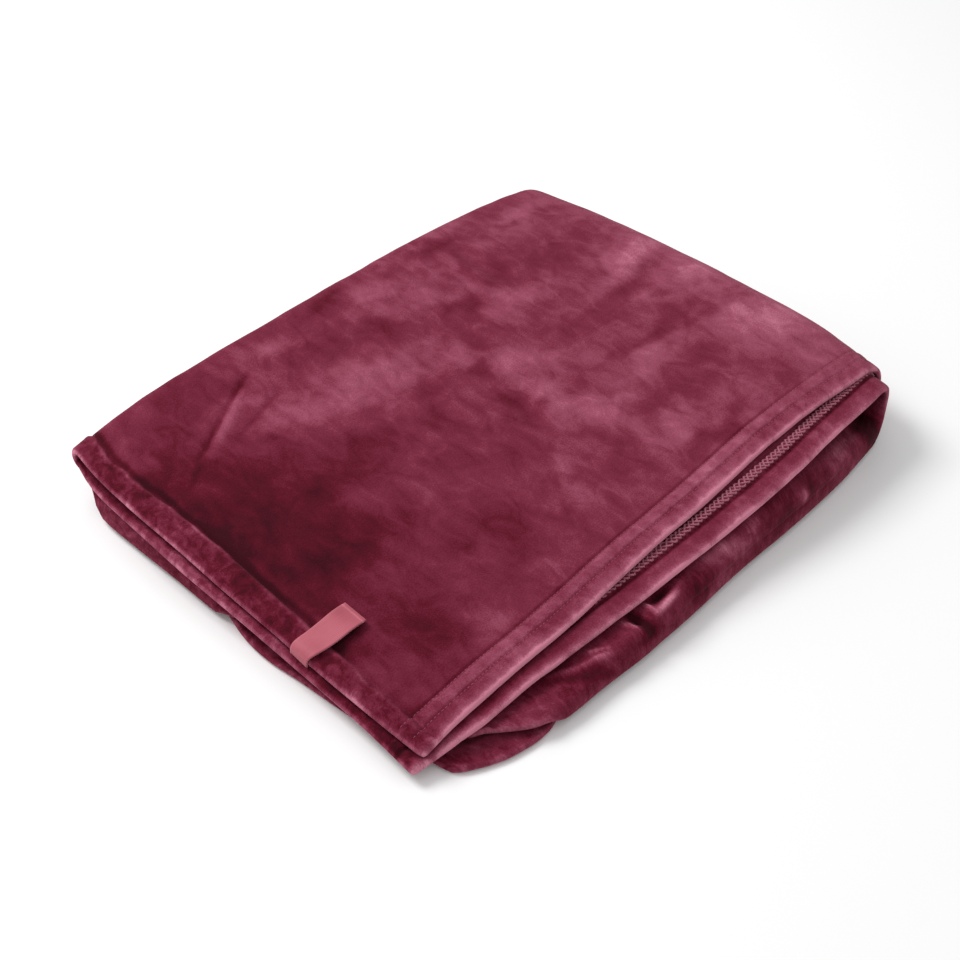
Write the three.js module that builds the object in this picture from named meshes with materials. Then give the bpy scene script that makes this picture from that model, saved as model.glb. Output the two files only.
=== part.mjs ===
// Fleece throw blanket, folded in half twice, with a ribbon loop label on one hem.
// Millimetres, Z up. The origin is the middle of the bounding box's underside.
//
// The tables use the packet's own plan. X runs along its long side, from the open end at -250 to the
// second fold at +250. Y runs along its short side, from the open side at -180 to the first fold.
// The four corners of the cloth meet at the near corner, at -250, -180. The layers are counted from
// the top: the first fold joins layer 1 to layer 2 and layer 3 to layer 4, and the second fold joins
// layer 1 to layer 4 and layer 2 to layer 3.

import * as THREE from 'three';

const { clamp, lerp, smoothstep, degToRad } = THREE.MathUtils;

// Cloth and hems

const CLOTH = 3.2;
const END_HEM = { width: 20, thickness: 5.4 };
const SIDE_HEM = { width: 22, thickness: 4.6 };
const HEM_FADE = 5;
const EDGE_THINNEST = 0.4;

// Folds

const RUN_END = 217;
const FOLD_REACH = 250;
const LAYER_GAP = 1.0;
const FLOOR_GAP = 3.2;
const SIDE_TURN = degToRad(80);
const END_TURN = degToRad(72);

// Height of the top face, and mid height of layer 3, at five lines across the packet

const ACROSS = { side: -180, side_mid: -90, mid: 0, fold_mid: 90, fold: 170 };

const TOP = table(['x', 'side', 'side_mid', 'mid', 'fold_mid', 'fold'], [
  [-250, 17, 22, 29, 36, 44],
  [-190, 24.5, 28, 33.5, 40, 47],
  [-100, 31.5, 34, 39, 45, 52],
  [20, 44, 44, 46, 51, 57],
  [130, 56, 54, 55, 57, 60],
  [217, 60, 62, 61, 60, 58],
]);

const THIRD = table(['x', 'side', 'side_mid', 'mid', 'fold_mid', 'fold'], [
  [-250, 8.6, 8.8, 13, 18, 20],
  [-190, 9.4, 11, 15, 18, 20],
  [-100, 17.5, 18, 20, 21, 20],
  [20, 29, 25, 22, 21, 19],
  [120, 33, 26, 22, 20, 18],
  [175, 24, 20, 18, 17, 16],
  [217, 15, 14, 13, 13, 14],
]);

// Plan position of each layer's hem edge: x at the open end, y at the open side

const END_EDGE = table(['y', 'layer1', 'layer2', 'layer3', 'layer4'], [
  [-190, -247, -257.5, -213, -236],
  [-130, -249, -254.5, -226, -248],
  [-70, -250, -255, -242, -253.6],
  [-45, -250, -255.5, -247.5, -256.2],
  [-22, -250.5, -256, -251, -255],
  [8, -251, -257, -253, -248],
  [50, -251, -258, -253, -240],
  [110, -252, -256, -254, -241],
  [145, -251, -253.5, -253.5, -243],
  [166, -248.5, -249, -248, -246],
]);

const SIDE_EDGE = table(['x', 'layer1', 'layer2', 'layer3', 'layer4'], [
  [-250, -181, -182, -182, -184],
  [-225, -179.2, -185.6, -184, -200],
  [-205, -179, -188.6, -188.5, -209],
  [-192, -178.8, -189, -199, -212],
  [-180, -178.5, -189, -208, -213.6],
  [-168, -178.5, -189.4, -213.2, -213],
  [-156, -178.8, -190, -215.2, -209],
  [-140, -179, -191.4, -216, -204],
  [-125, -179, -192, -216, -201],
  [-105, -178.7, -193.6, -216, -199],
  [-85, -178, -195.2, -215.8, -198],
  [-60, -177.4, -197.6, -215.5, -197],
  [-30, -176.9, -199.8, -215, -196],
  [30, -177.6, -203.2, -212.5, -194],
  [100, -176.6, -205.6, -212.5, -192],
  [165, -179.3, -203.4, -210, -190],
  [217, -182.8, -201.2, -204, -188],
  [250, -184, -198.5, -199, -184],
]);

// First fold: plan position of its two rims, and the gap that each pair of layers leaves inside

const FIRST_FOLD = table(['x', 'upper', 'lower', 'upper_gap', 'lower_gap'], [
  [-250, 174, 167, 8.5, 13],
  [-190, 184.5, 173.5, 10, 14],
  [-60, 188, 180, 12, 15],
  [110, 187, 183, 11, 14],
  [217, 179.5, 179, 8, 10],
  [250, 170.5, 171, 7, 8],
]);

// Second fold: plan position of its outermost line

const SECOND_FOLD = table(['y', 'crown'], [
  [-205, 237.5],
  [-175, 245.5],
  [-130, 256],
  [-60, 261],
  [20, 262],
  [100, 259.5],
  [180, 250.5],
]);

// Stations of the sheet: distances in from a hem edge, then fractions of the run that is left

const TOP_END_STEPS = [0, 1.5, 4, 10, 16, 20, 24];
const BOTTOM_END_STEPS = [0, 1.5, 4, 10, 16, 20, 24, 32, 40];
const END_FRACTIONS = [0.07, 0.14, 0.2, 0.26, 0.32, 0.4, 0.5, 0.6, 0.72, 0.84, 0.93];
const OUTER_SIDE_STEPS = [0, 1.5, 4, 10, 15, 19, 23];
const INNER_SIDE_STEPS = [0, 1.5, 4, 8, 12, 16, 20, 24, 28, 33, 40];
const SIDE_FRACTIONS = [0.1, 0.22, 0.36, 0.5, 0.64, 0.78, 0.9];
const SECOND_FOLD_STEPS = 12;
const FIRST_FOLD_STEPS = 8;

// Loop label: a doubled ribbon sewn at the end hem's edge, bent over the hem and back onto the cloth.
// Its height is above the cloth's top face, and tilt is how much higher its near edge is than its far
// one

const LABEL_WIDTH = 20;
const LABEL_THICKNESS = 1.2;
const LABEL_Y = -74.5;
const LABEL_STEPS = 4;

const LABEL = table(['x', 'height', 'tilt'], [
  [-250.9, -3.4, -1.2],
  [-250.9, -1.2, -0.8],
  [-250.6, 1.3, -0.3],
  [-249.3, 3.6, 0],
  [-245.8, 4.9, 0.4],
  [-238, 4.6, 0.8],
  [-229, 4.6, 0.8],
  [-217, 5, 0.2],
  [-209, 4.2, 0],
  [-204, 3.2, 0],
]);

function table(names, rows) {
  return Object.fromEntries(names.map((name, k) => [name, rows.map((row) => row[k])]));
}

// Smooth curve through the values at the given knots

function through(knots, values, at) {
  const last = knots.length - 1;
  const slope = (k) => (values[k + 1] - values[k]) / (knots[k + 1] - knots[k]);
  const tangent = (k) => {
    if (k === 0) return slope(0);
    if (k === last) return slope(last - 1);
    return (slope(k - 1) + slope(k)) / 2;
  };
  let i = 0;
  while (i < last - 1 && at > knots[i + 1]) i += 1;
  const step = knots[i + 1] - knots[i];
  const t = clamp((at - knots[i]) / step, 0, 1);
  const s = 1 - t;
  return s * s * (1 + 2 * t) * values[i] + s * s * t * step * tangent(i)
    + t * t * (3 - 2 * t) * values[i + 1] - t * t * s * step * tangent(i + 1);
}

function curve(rows, name, at) {
  const [knots] = Object.values(rows);
  return through(knots, rows[name], at);
}

function height(rows, x, y) {
  const names = Object.keys(ACROSS);
  const values = names.map((name) => curve(rows, name, x));
  return through(Object.values(ACROSS), values, clamp(y, ACROSS.side, ACROSS.fold));
}

// The lower layers' free edges roll down to the floor. A roll starts at a line, bends by its turn
// about a radius and goes on straight; it is laid out so that its outermost point is on the edge

function roll(edge, drop, radius, fullTurn, amount) {
  const turn = fullTurn * amount;
  const fall = Math.max(drop - FLOOR_GAP - radius * (1 - Math.cos(fullTurn)), 0);
  const straight = fall / Math.sin(fullTurn) * amount;
  const line = edge + radius * Math.sin(turn) + straight * Math.cos(turn);
  return { turn, radius, line, start: line - radius * turn - straight };
}

function rollDown(at, offset, { turn, radius, line }) {
  const past = Math.max(line - at, 0);
  const angle = Math.min(past / radius, turn);
  const rest = Math.max(past - radius * turn, 0);
  const out = (radius + offset) * Math.sin(angle) + rest * Math.cos(angle);
  const drop = radius - (radius + offset) * Math.cos(angle) + rest * Math.sin(angle);
  return { at: past > 0 ? line - out : at, drop };
}

// A hem edge is rounded over: the share of its thickness at a distance in from the edge

function edgeShare(distance, radius) {
  const left = (radius - Math.min(distance, radius)) / radius;
  return Math.max(EDGE_THINNEST, Math.sqrt(1 - left * left));
}

function hemThickness(u, v) {
  const end = u.edge === undefined ? 0 : fade(u.edge, END_HEM.width);
  const side = v.edge === undefined ? 0 : fade(v.edge, SIDE_HEM.width);
  return CLOTH + Math.max(
    (END_HEM.thickness - CLOTH) * end,
    (SIDE_HEM.thickness - CLOTH) * side,
  );
}

function fade(distance, width) {
  return 1 - smoothstep(distance, width - 3, width - 3 + HEM_FADE);
}

// One point of the sheet: u runs along the top, round the second fold and back along the bottom,
// v runs along the outer layer, round the first fold and back along the inner one

function place(u, v, face) {
  const bottom = u.run === 'bend' ? (1 - Math.cos(u.turn)) / 2 : Number(u.run === 'bottom');
  const inner = v.run === 'bend' ? (1 - Math.cos(v.turn)) / 2 : Number(v.run === 'inner');
  const onTop = bottom < 0.5;

  // Plan position: each end's line depends on the other direction, so it is found in a few passes
  let x = RUN_END;
  let y = 0;
  let across = 0;
  let end = { turn: 0, line: -Infinity };
  let side = end;
  let fold = end;
  for (let pass = 0; pass < 4; pass += 1) {
    if (u.run !== 'bend') {
      const at = clamp(y, -190, 166);
      const edge = lerp(
        curve(END_EDGE, onTop ? 'layer1' : 'layer4', at),
        curve(END_EDGE, onTop ? 'layer2' : 'layer3', at),
        inner,
      );
      const drop = height(THIRD, -245, y);
      const amount = smoothstep(y, -20, 12) * (1 - smoothstep(y, 140, 164)) * inner;
      end = roll(edge, drop, clamp(0.5 * drop, 3.5, 9), END_TURN, onTop ? 0 : amount);
      x = along(end.start, RUN_END, onTop ? 24 : 40, u);
    }
    const bent = u.run === 'bend' ? RUN_END + (FOLD_REACH - RUN_END) * Math.sin(u.turn) : x;
    const xq = clamp(bent, -FOLD_REACH, FOLD_REACH);
    const rim = lerp(curve(FIRST_FOLD, 'upper', xq), curve(FIRST_FOLD, 'lower', xq), bottom);
    const gap = lerp(curve(FIRST_FOLD, 'upper_gap', xq), curve(FIRST_FOLD, 'lower_gap', xq), bottom);
    const radius = (gap + CLOTH) / 2;
    fold = { gap, radius, centre: rim - radius - CLOTH / 2 };
    const outerEdge = lerp(curve(SIDE_EDGE, 'layer1', xq), curve(SIDE_EDGE, 'layer4', xq), bottom);
    const innerEdge = lerp(curve(SIDE_EDGE, 'layer2', xq), curve(SIDE_EDGE, 'layer3', xq), bottom);
    const drop = height(THIRD, Math.min(xq, RUN_END), ACROSS.side);
    const amount = bottom ** 1.5 * smoothstep(x, -178, -154);
    side = roll(innerEdge, drop, clamp(0.45 * drop, 3.2, 12), SIDE_TURN, amount);
    if (v.run === 'bend') across = fold.centre;
    if (v.run === 'outer') across = along(outerEdge, fold.centre, 23, v);
    if (v.run === 'inner') across = along(side.start, fold.centre, 40, v);
    y = v.run === 'inner' ? Math.max(across, innerEdge) : across;
  }

  // Thickness, thicker at the hems and rounded over at their edges
  const full = hemThickness(u, v);
  const extra = full - CLOTH;
  const share = Math.min(
    u.edge === undefined ? 1 : edgeShare(u.edge, full / 2),
    v.edge === undefined ? 1 : edgeShare(v.edge, full / 2),
  );
  const half = face * full * share / 2;

  // Depth below the outer face: the outer layer, the first fold's loop, or the inner layer
  const xz = clamp(x, -FOLD_REACH, RUN_END);
  const loop = CLOTH / 2 + 2 * fold.radius;
  const spread = smoothstep(1 - (fold.centre - across) / 110, 0, 1);
  const room = Math.max(
    (END_HEM.thickness - CLOTH) * (1 - smoothstep(xz, -226, -218)),
    (SIDE_HEM.thickness - CLOTH) * (1 - smoothstep(across, -153, -145)),
  );
  const upper = 1.5 * CLOTH + LAYER_GAP + (fold.gap - LAYER_GAP) * spread + room;
  const lower = lerp(loop, height(THIRD, xz, y), smoothstep(fold.centre - across, 0, 30));
  const middle = v.run === 'bend' ? loop : lerp(upper, lower, bottom);
  let depth = -CLOTH / 2 - extra / 2 * bottom + half;
  if (v.run === 'bend') {
    across = fold.centre + (fold.radius + half) * Math.sin(v.turn);
    depth = -CLOTH / 2 - fold.radius + (fold.radius + half) * Math.cos(v.turn)
      - extra / 4 * bottom * (1 + Math.cos(v.turn));
  }
  if (v.run === 'inner') {
    depth = -middle - half;
    if (side.turn > 0.001 && across < side.line) {
      const rolled = rollDown(across, half, side);
      across = rolled.at;
      depth = rolled.drop - middle;
    }
  }

  // The second fold carries the runs round from the top to the floor
  const crown = curve(SECOND_FOLD, 'crown', clamp(across, -205, 180));
  const bend = height(TOP, RUN_END, across) / 2;
  const centre = crown - bend;
  if (u.run === 'bend') {
    return [
      centre + (bend + depth) * Math.sin(u.turn),
      across,
      bend + (bend + depth) * Math.cos(u.turn),
    ];
  }
  const shifted = x + (centre - RUN_END) * smoothstep(x, -100, RUN_END);
  if (onTop) return [shifted, across, height(TOP, xz, across) + depth];
  if (v.run !== 'outer' && end.turn > 0.001 && x < end.line) {
    const rolled = rollDown(x, -depth - middle, end);
    return [rolled.at, across, middle - rolled.drop];
  }
  return [shifted, across, -depth];
}

// A station's position on its run: a distance in from the edge, or a share of what is left

function along(edge, stop, reach, station) {
  if (station.edge !== undefined) return edge + station.edge;
  return lerp(edge + reach, stop, station.share);
}

function stations(first, firstSteps, last, lastSteps, fractions, bendSteps) {
  const turns = Array.from({ length: bendSteps + 1 }, (_, k) => Math.PI * k / bendSteps);
  return [
    ...firstSteps.map((edge) => ({ run: first, edge })),
    ...fractions.map((share) => ({ run: first, share })),
    ...turns.map((turn) => ({ run: 'bend', turn })),
    ...fractions.toReversed().map((share) => ({ run: last, share })),
    ...lastSteps.toReversed().map((edge) => ({ run: last, edge })),
  ];
}

// Closed skin over two grids of points, an upper and a lower face

function skin(rows, columns, pointAt) {
  const positions = [];
  const indices = [];
  const index = (k, i, j) => (k * rows + i) * columns + j;
  for (let k = 0; k < 2; k += 1) {
    for (let i = 0; i < rows; i += 1) {
      for (let j = 0; j < columns; j += 1) positions.push(...pointAt(i, j, 1 - 2 * k));
    }
  }
  const quad = (a, b, c, d) => indices.push(a, b, c, a, c, d);
  for (let i = 0; i < rows - 1; i += 1) {
    for (let j = 0; j < columns - 1; j += 1) {
      quad(index(0, i, j), index(0, i + 1, j), index(0, i + 1, j + 1), index(0, i, j + 1));
      quad(index(1, i, j), index(1, i, j + 1), index(1, i + 1, j + 1), index(1, i + 1, j));
    }
  }
  for (let i = 0; i < rows - 1; i += 1) {
    const j = columns - 1;
    quad(index(0, i, 0), index(1, i, 0), index(1, i + 1, 0), index(0, i + 1, 0));
    quad(index(0, i, j), index(0, i + 1, j), index(1, i + 1, j), index(1, i, j));
  }
  for (let j = 0; j < columns - 1; j += 1) {
    const i = rows - 1;
    quad(index(0, 0, j), index(0, 0, j + 1), index(1, 0, j + 1), index(1, 0, j));
    quad(index(0, i, j), index(1, i, j), index(1, i, j + 1), index(0, i, j + 1));
  }
  const geometry = new THREE.BufferGeometry();
  geometry.setAttribute('position', new THREE.Float32BufferAttribute(positions, 3));
  geometry.setIndex(indices);
  geometry.computeVertexNormals();
  return geometry;
}

// Blanket

const alongStations = stations(
  'top', TOP_END_STEPS, 'bottom', BOTTOM_END_STEPS, END_FRACTIONS, SECOND_FOLD_STEPS,
);
const acrossStations = stations(
  'outer', OUTER_SIDE_STEPS, 'inner', INNER_SIDE_STEPS, SIDE_FRACTIONS, FIRST_FOLD_STEPS,
);

const blanket = new THREE.Mesh(
  skin(
    alongStations.length,
    acrossStations.length,
    (i, j, face) => place(alongStations[i], acrossStations[j], face),
  ),
  new THREE.MeshStandardMaterial({ color: 0x6e1f33, roughness: 0.95, metalness: 0 }),
);
blanket.name = 'blanket_cloth';

// Label: the ribbon's middle line and tilt, with its thickness square to them

function labelPoint(run, side, face) {
  const rows = LABEL.x.map((_, k) => k);
  const at = clamp(run, 0, rows.length - 1);
  const y = LABEL_Y - side * LABEL_WIDTH / 2;
  const spot = (t) => {
    const x = through(rows, LABEL.x, t);
    const rise = through(rows, LABEL.height, t) + side * through(rows, LABEL.tilt, t) / 2;
    return new THREE.Vector2(x, height(TOP, Math.max(x, -FOLD_REACH), y) + rise);
  };
  const middle = spot(at);
  const direction = spot(Math.min(at + 0.05, rows.length - 1)).sub(spot(Math.max(at - 0.05, 0)));
  direction.normalize();
  const offset = face * LABEL_THICKNESS / 2;
  return [middle.x - direction.y * offset, y, middle.y + direction.x * offset];
}

const labelRows = (LABEL.x.length - 1) * LABEL_STEPS + 1;
const label = new THREE.Mesh(
  skin(labelRows, 5, (i, j, face) => labelPoint(i / LABEL_STEPS, 1 - j / 2, face)),
  new THREE.MeshStandardMaterial({ color: 0xbc5a64, roughness: 0.55, metalness: 0 }),
);
label.name = 'loop_label';

const throwBlanket = new THREE.Group();
throwBlanket.add(blanket, label);

const box = new THREE.Box3().setFromObject(throwBlanket);
throwBlanket.position.set(
  -(box.min.x + box.max.x) / 2,
  -(box.min.y + box.max.y) / 2,
  -box.min.z,
);

export default throwBlanket;
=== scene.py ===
"""Folded fleece throw blanket: plush cloth with turned hems, and a ribbon loop label.

Lengths in the tables are millimetres in the folded packet's own plan, as in the solids: X runs along
the long side from the open end at -250, Y along the short side from the open side at -180, and the
layers are counted from the top. ORIGIN moves that plan into the part's frame.
"""

import math

import bpy
import numpy as np
from mathutils import Matrix, Vector


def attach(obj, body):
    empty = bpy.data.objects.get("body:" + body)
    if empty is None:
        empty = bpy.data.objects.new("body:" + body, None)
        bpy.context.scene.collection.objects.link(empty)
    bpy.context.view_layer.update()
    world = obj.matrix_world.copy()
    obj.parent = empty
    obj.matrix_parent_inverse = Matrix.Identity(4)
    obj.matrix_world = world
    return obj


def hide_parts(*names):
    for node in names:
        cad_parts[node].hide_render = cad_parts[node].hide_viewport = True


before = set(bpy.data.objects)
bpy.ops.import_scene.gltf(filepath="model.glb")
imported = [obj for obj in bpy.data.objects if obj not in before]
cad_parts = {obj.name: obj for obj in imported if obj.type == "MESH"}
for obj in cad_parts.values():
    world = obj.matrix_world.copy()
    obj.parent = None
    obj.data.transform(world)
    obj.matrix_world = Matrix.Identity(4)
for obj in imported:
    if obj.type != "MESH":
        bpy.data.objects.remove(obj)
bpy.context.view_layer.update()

ORIGIN = np.array([-2.072, 14.695, 0.0])

# Cloth and hems
CLOTH = 3.2
END_HEM = {"width": 20, "thickness": 5.4}
SIDE_HEM = {"width": 22, "thickness": 4.6}
HEM_FADE = 5
EDGE_THINNEST = 0.12

# Folds: the runs reach from the hems to RUN_END, and the second fold goes round past it. Layers 1 and 2
# lie LAYER_GAP apart, and spread over the last SPREAD_REACH before the first fold. Layer 3 leaves that
# fold's loop over THIRD_REACH. The room that the thick hems need fades out over each ROOM range.
RUN_END = 217
FOLD_REACH = 250
FOLD_SHIFT_FROM = -100
LAYER_GAP = 1.0
SPREAD_REACH = 110
THIRD_REACH = 30
END_ROOM = (-226, -218)
SIDE_ROOM = (-153, -145)

# Where and how sharply layer 3 rolls down to the floor at its two hems
FLOOR_GAP = 3.2
END_ROLL = {"turn": math.radians(72), "share": 0.5, "radius": (3.5, 9), "at": -245.0,
            "rise": (-20, 12), "fall": (140, 164)}
SIDE_ROLL = {"turn": math.radians(80), "share": 0.45, "radius": (3.2, 12), "rise": (-178, -154)}


def table(names, rows):
    """Named columns out of rows of numbers."""
    return {name: np.array([row[k] for row in rows], float) for k, name in enumerate(names)}


ACROSS = {"side": -180, "side_mid": -90, "mid": 0, "fold_mid": 90, "fold": 170}

TOP = table(["x", "side", "side_mid", "mid", "fold_mid", "fold"], [
    [-250, 17, 22, 29, 36, 44],
    [-190, 24.5, 28, 33.5, 40, 47],
    [-100, 31.5, 34, 39, 45, 52],
    [20, 44, 44, 46, 51, 57],
    [130, 56, 54, 55, 57, 60],
    [217, 60, 62, 61, 60, 58],
])

THIRD = table(["x", "side", "side_mid", "mid", "fold_mid", "fold"], [
    [-250, 8.6, 8.8, 13, 18, 20],
    [-190, 9.4, 11, 15, 18, 20],
    [-100, 17.5, 18, 20, 21, 20],
    [20, 29, 25, 22, 21, 19],
    [120, 33, 26, 22, 20, 18],
    [175, 24, 20, 18, 17, 16],
    [217, 15, 14, 13, 13, 14],
])

END_EDGE = table(["y", "layer1", "layer2", "layer3", "layer4"], [
    [-190, -247, -257.5, -213, -236],
    [-130, -249, -254.5, -226, -248],
    [-70, -250, -255, -242, -253.6],
    [-45, -250, -255.5, -247.5, -256.2],
    [-22, -250.5, -256, -251, -255],
    [8, -251, -257, -253, -248],
    [50, -251, -258, -253, -240],
    [110, -252, -256, -254, -241],
    [145, -251, -253.5, -253.5, -243],
    [166, -248.5, -249, -248, -246],
])

SIDE_EDGE = table(["x", "layer1", "layer2", "layer3", "layer4"], [
    [-250, -181, -182, -182, -184],
    [-225, -179.2, -185.6, -184, -200],
    [-205, -179, -188.6, -188.5, -209],
    [-192, -178.8, -189, -199, -212],
    [-180, -178.5, -189, -208, -213.6],
    [-168, -178.5, -189.4, -213.2, -213],
    [-156, -178.8, -190, -213.8, -209.5],
    [-140, -179, -191.4, -214.2, -206.5],
    [-125, -179, -192, -214.2, -203],
    [-105, -178.7, -193.6, -214.8, -200],
    [-85, -178, -195.2, -215.8, -198],
    [-60, -177.4, -197.6, -215.5, -197],
    [-30, -176.9, -199.8, -215, -196],
    [30, -177.6, -203.2, -212.5, -194],
    [100, -176.6, -205.6, -212.5, -192],
    [165, -179.3, -203.4, -210, -190],
    [217, -182.8, -201.2, -204, -188],
    [250, -184, -198.5, -199, -184],
])

FIRST_FOLD = table(["x", "upper", "lower", "upper_gap", "lower_gap"], [
    [-250, 174, 167, 8.5, 13],
    [-190, 184.5, 173.5, 10, 14],
    [-60, 188, 180, 12, 15],
    [110, 187, 183, 11, 14],
    [217, 179.5, 179, 8, 10],
    [250, 170.5, 171, 7, 8],
])

SECOND_FOLD = table(["y", "crown"], [
    [-205, 237.5],
    [-175, 245.5],
    [-130, 256],
    [-60, 261],
    [20, 262],
    [100, 259.5],
    [180, 250.5],
])

# Label: middle line of the doubled ribbon
LABEL_WIDTH = 20
LABEL_Y = -74.5

LABEL = table(["x", "height", "tilt"], [
    [-250.9, -3.4, -1.2],
    [-250.9, -1.2, -0.8],
    [-250.6, 1.3, -0.3],
    [-249.3, 3.6, 0],
    [-245.8, 4.9, 0.4],
    [-238, 4.6, 0.8],
    [-229, 4.6, 0.8],
    [-217, 5, 0.2],
    [-209, 4.2, 0],
    [-204, 3.2, 0],
])


def lerp(a, b, t):
    return a + (b - a) * t


def smooth(x, low, high):
    t = np.clip((x - low) / (high - low), 0, 1)
    return t * t * (3 - 2 * t)


def through(knots, values, at):
    """Smooth curve through values at knots, evaluated at an array of places."""
    slopes = [(b - a) / (q - p) for a, b, p, q in zip(values, values[1:], knots, knots[1:])]
    tangents = [slopes[0]] + [(a + b) / 2 for a, b in zip(slopes, slopes[1:])] + [slopes[-1]]
    result = 0
    for k, (p, q) in enumerate(zip(knots, knots[1:])):
        t = np.clip((at - p) / (q - p), 0, 1)
        s = 1 - t
        piece = (s * s * (1 + 2 * t) * values[k] + s * s * t * (q - p) * tangents[k]
                 + t * t * (3 - 2 * t) * values[k + 1] - t * t * s * (q - p) * tangents[k + 1])
        result = piece if k == 0 else np.where(at > p, piece, result)
    return result


def curve(rows, name, at):
    knots = next(iter(rows.values()))
    return through(knots, rows[name], at)


def height(rows, x, y):
    """Height over the plan from a table of its sections across."""
    values = [curve(rows, name, x) for name in ACROSS]
    return through(list(ACROSS.values()), values, np.clip(y, ACROSS["side"], ACROSS["fold"]))


# Hem seams: two lines of stitches on the right side, a looper band between them on the wrong side
SEAM_NEAR = 12.8
SEAM_FAR = 23.4
LOOPER_NEAR = 18.2
LOOPER_FAR = 25.2

END_SEAM = table(["y", "seam"], [
    [-190, 15],
    [-130, 15.5],
    [-60, 19.5],
    [-15, 20.2],
    [45, 22],
    [85, 20.5],
    [120, 17.8],
    [190, 17.5],
])

# Soft ridges and troughs of the upper layers, as short lines in plan
WAVES = table(["x1", "y1", "x2", "y2", "width", "rise"], [
    [-205, 84, -224, 88, 5, -1.4],
    [-200, 50, -226, 42, 5, -1.4],
    [-214, 74, -213, 62, 5, 1],
    [112, 152, 103, 118, 5, -2.2],
    [103, 118, 112, 78, 5, -2],
    [96, 140, 90, 92, 7, 1.5],
    [130, 96, 190, 70, 9, -1.5],
    [148, 14, 236, 18, 11, -1.8],
    [178, 36, 242, 58, 11, 1.6],
    [182, 0, 240, -12, 9, 1.8],
    [196, 74, 244, 108, 9, -2.1],
    [190, -40, 244, -66, 10, -2],
    [12, 42, 30, 22, 5, -1.7],
    [12, -8, 6, -42, 6, -1.8],
    [28, -10, 22, -44, 7, 1.5],
    [-60, 112, 10, 124, 9, -1.8],
    [-70, 96, 0, 84, 10, 1.8],
    [-134, 44, -66, 26, 10, -2],
    [-30, 44, 6, 60, 8, -1.5],
    [60, 108, 76, 82, 7, -1.8],
    [130, -26, 160, -40, 7, -1.5],
    [60, -128, 118, -140, 8, -1.4],
    [-12, 164, 26, 172, 7, -1.5],
])

# Sharper straight creases of the top layer
CREASES = table(["x1", "y1", "x2", "y2", "width", "rise"], [
    [-108, 149, -144, 130, 2.5, -1.9],
    [-144, 130, -191, 103, 2.5, -2.1],
    [-126, 134, -186, 97, 5, 1.3],
    [-104, 118, -130, 109.5, 2.4, -1],
    [-130, 109.5, -156, 102, 2.4, -1],
    [-146, 87, -136, 82, 3.5, -1.2],
    [224, 20, 100, 16, 5, -0.6],
    [224, 32, 130, 26, 7, 0.6],
    [220, -56, 82, -27, 4, -0.8],
])

# Creases of layer 3 where it rolls down to the floor: x, and distance in from its own hem edge
BANK = table(["x1", "y1", "x2", "y2", "width", "rise"], [
    [-62, 31, -60, 21, 2.6, 3.2],
    [-60, 21, -38, 24, 2.8, 2.8],
    [-38, 24, -24, 29, 3.4, 1.6],
    [-54, 29, -42, 31, 4, -3.6],
    [-74, 33, -71, 15, 3.2, -5.2],
    [-83, 31, -79, 20, 2.2, 1.8],
    [-79, 20, -74, 12, 2.4, 1],
    [-88, 14, -72, 9, 3.4, -1.4],
    [-116, 28, -104, 21, 2.2, 1.3],
    [-152, 33, -125, 21, 3, 1.6],
    [-125, 21, -106, 17, 3, 2],
    [-142, 24, -108, 11, 4, -1.7],
    [-180, 12, -140, 8, 4, 0.8],
    [107, 29, 99, 6, 2.6, 1.7],
    [114, 27, 106, 8, 4, -1.2],
    [18, 30, 4, 10, 6, 1.1],
    [48, 32, 36, 8, 6, -1.1],
    [150, 32, 140, 8, 6, 1.1],
    [188, 32, 180, 10, 5, -1.2],
    [-20, 26, -30, 6, 5, -1],
])

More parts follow.
